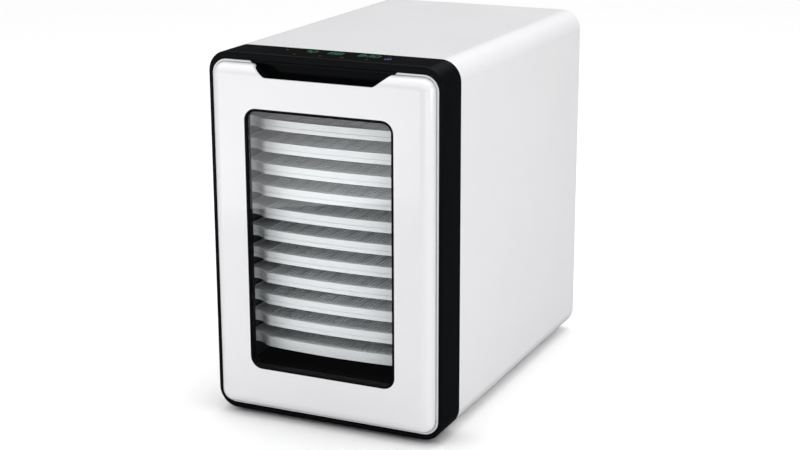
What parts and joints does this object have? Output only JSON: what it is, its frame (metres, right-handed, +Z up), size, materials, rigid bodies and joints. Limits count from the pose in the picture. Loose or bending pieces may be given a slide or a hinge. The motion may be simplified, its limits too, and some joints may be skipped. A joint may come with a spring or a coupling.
{
  "type": "food dehydrator",
  "caption": "Upright cabinet food dehydrator with a drop-down windowed door, slide-out mesh trays, a touch panel in the top of the front frame and a rear fan with a ring heater.",
  "frame": {"origin": "centre of the bounding box on the surface the feet stand on", "axes": "+Z up, the door faces -Y, +X to the right seen from the front"},
  "size_m": [0.29, 0.464, 0.435],
  "materials": {
    "casing_white": "gloss white",
    "frame_black": "gloss black",
    "panel_black": "gloss black touch surface",
    "door_white": "gloss white",
    "trim_black": "gloss black",
    "window_glass": "clear",
    "tray_white": "satin white",
    "liner_grey": "dark blue grey",
    "sheet_steel": "galvanised",
    "screw_steel": "zinc plated",
    "rubber": "matt",
    "brass": "machined",
    "winding": "enamelled copper and laminations",
    "heater_steel": "heat-darkened sheath",
    "ceramic": "glazed ceramic",
    "board_green": "solder mask",
    "display_dark": "smoked",
    "fan_grey": "moulded"
  },
  "bodies": {
    "housing": {"outer_casing": "casing_white", "base_plate": "sheet_steel", "base_screws": "screw_steel", "feet": "rubber", "foot_screws": "screw_steel", "rear_cover": "casing_white", "rear_cover_screws": "screw_steel", "power_inlet": "trim_black", "inlet_pins": "brass", "inlet_screws": "screw_steel", "front_frame": "frame_black", "touch_panel": "panel_black", "control_board": "board_green", "display_module": "display_dark", "door_magnets": "screw_steel", "hinge_pins": "screw_steel", "left_rail_wall": "liner_grey", "right_rail_wall": "liner_grey", "chamber_floor": "liner_grey", "chamber_ceiling": "liner_grey", "fan_baffle": "sheet_steel", "fan_shroud": "sheet_steel", "heating_element": "heater_steel", "heater_clips": "ceramic", "thermal_cutout": "sheet_steel", "temperature_probe": "sheet_steel", "motor_bracket": "sheet_steel", "bracket_screws": "screw_steel", "motor_housing": "sheet_steel", "motor_stator": "winding", "motor_bearings": "brass", "board_standoffs": "ceramic", "power_board": "board_green"},
    "door": {"door_front_panel": "door_white", "door_inner_frame": "door_white", "window_trim": "trim_black", "window_glass": "window_glass", "glass_gasket": "rubber", "glass_retainer": "trim_black", "grip_insert": "frame_black", "door_seal": "rubber", "strike_plates": "sheet_steel", "hinge_bushes": "brass", "door_screws": "screw_steel"},
    "fan": {"motor_shaft": "screw_steel", "motor_rotor": "screw_steel", "fan_blades": "fan_grey", "fan_nut": "screw_steel"},
    "tray_level_01": {"tray_01": "tray_white"},
    "tray_level_02": {"tray_02": "tray_white"},
    "tray_level_03": {"tray_03": "tray_white"},
    "tray_level_04": {"tray_04": "tray_white"},
    "tray_level_05": {"tray_05": "tray_white"},
    "tray_level_06": {"tray_06": "tray_white"},
    "tray_level_07": {"tray_07": "tray_white"},
    "tray_level_08": {"tray_08": "tray_white"},
    "tray_level_09": {"tray_09": "tray_white"},
    "tray_level_10": {"tray_10": "tray_white"},
    "tray_level_11": {"tray_11": "tray_white"}
  },
  "joints": [
    {"name": "door_hinge", "type": "hinge", "parent": "housing", "child": "door", "pos_m": [0, -0.215, 0.03], "axis": [1, 0, 0], "range_deg": [0, 90]},
    {"name": "fan_spin", "type": "hinge", "parent": "housing", "child": "fan", "pos_m": [0, 0.1495, 0.218], "axis": [0, 1, 0], "continuous": true},
    {"name": "tray_slide_01", "type": "slide", "parent": "housing", "child": "tray_level_01", "axis": [0, -1, 0], "range_m": [0, 0.295]},
    {"name": "tray_slide_02", "type": "slide", "parent": "housing", "child": "tray_level_02", "axis": [0, -1, 0], "range_m": [0, 0.295]},
    {"name": "tray_slide_03", "type": "slide", "parent": "housing", "child": "tray_level_03", "axis": [0, -1, 0], "range_m": [0, 0.295]},
    {"name": "tray_slide_04", "type": "slide", "parent": "housing", "child": "tray_level_04", "axis": [0, -1, 0], "range_m": [0, 0.295]},
    {"name": "tray_slide_05", "type": "slide", "parent": "housing", "child": "tray_level_05", "axis": [0, -1, 0], "range_m": [0, 0.295]},
    {"name": "tray_slide_06", "type": "slide", "parent": "housing", "child": "tray_level_06", "axis": [0, -1, 0], "range_m": [0, 0.295]},
    {"name": "tray_slide_07", "type": "slide", "parent": "housing", "child": "tray_level_07", "axis": [0, -1, 0], "range_m": [0, 0.295]},
    {"name": "tray_slide_08", "type": "slide", "parent": "housing", "child": "tray_level_08", "axis": [0, -1, 0], "range_m": [0, 0.295]},
    {"name": "tray_slide_09", "type": "slide", "parent": "housing", "child": "tray_level_09", "axis": [0, -1, 0], "range_m": [0, 0.295]},
    {"name": "tray_slide_10", "type": "slide", "parent": "housing", "child": "tray_level_10", "axis": [0, -1, 0], "range_m": [0, 0.295]},
    {"name": "tray_slide_11", "type": "slide", "parent": "housing", "child": "tray_level_11", "axis": [0, -1, 0], "range_m": [0, 0.295]}
  ],
  "couplings": [
    {"joint": "tray_slide_01", "follows": "door_hinge", "m_per_rad": 0.0459},
    {"joint": "tray_slide_02", "follows": "door_hinge", "m_per_rad": 0.0696},
    {"joint": "tray_slide_03", "follows": "door_hinge", "m_per_rad": 0.0932},
    {"joint": "tray_slide_04", "follows": "door_hinge", "m_per_rad": 0.1169},
    {"joint": "tray_slide_05", "follows": "door_hinge", "m_per_rad": 0.1406},
    {"joint": "tray_slide_06", "follows": "door_hinge", "m_per_rad": 0.1643},
    {"joint": "tray_slide_07", "follows": "door_hinge", "m_per_rad": 0.185},
    {"joint": "tray_slide_08", "follows": "door_hinge", "m_per_rad": 0.185},
    {"joint": "tray_slide_09", "follows": "door_hinge", "m_per_rad": 0.185},
    {"joint": "tray_slide_10", "follows": "door_hinge", "m_per_rad": 0.185},
    {"joint": "tray_slide_11", "follows": "door_hinge", "m_per_rad": 0.185}
  ]
}
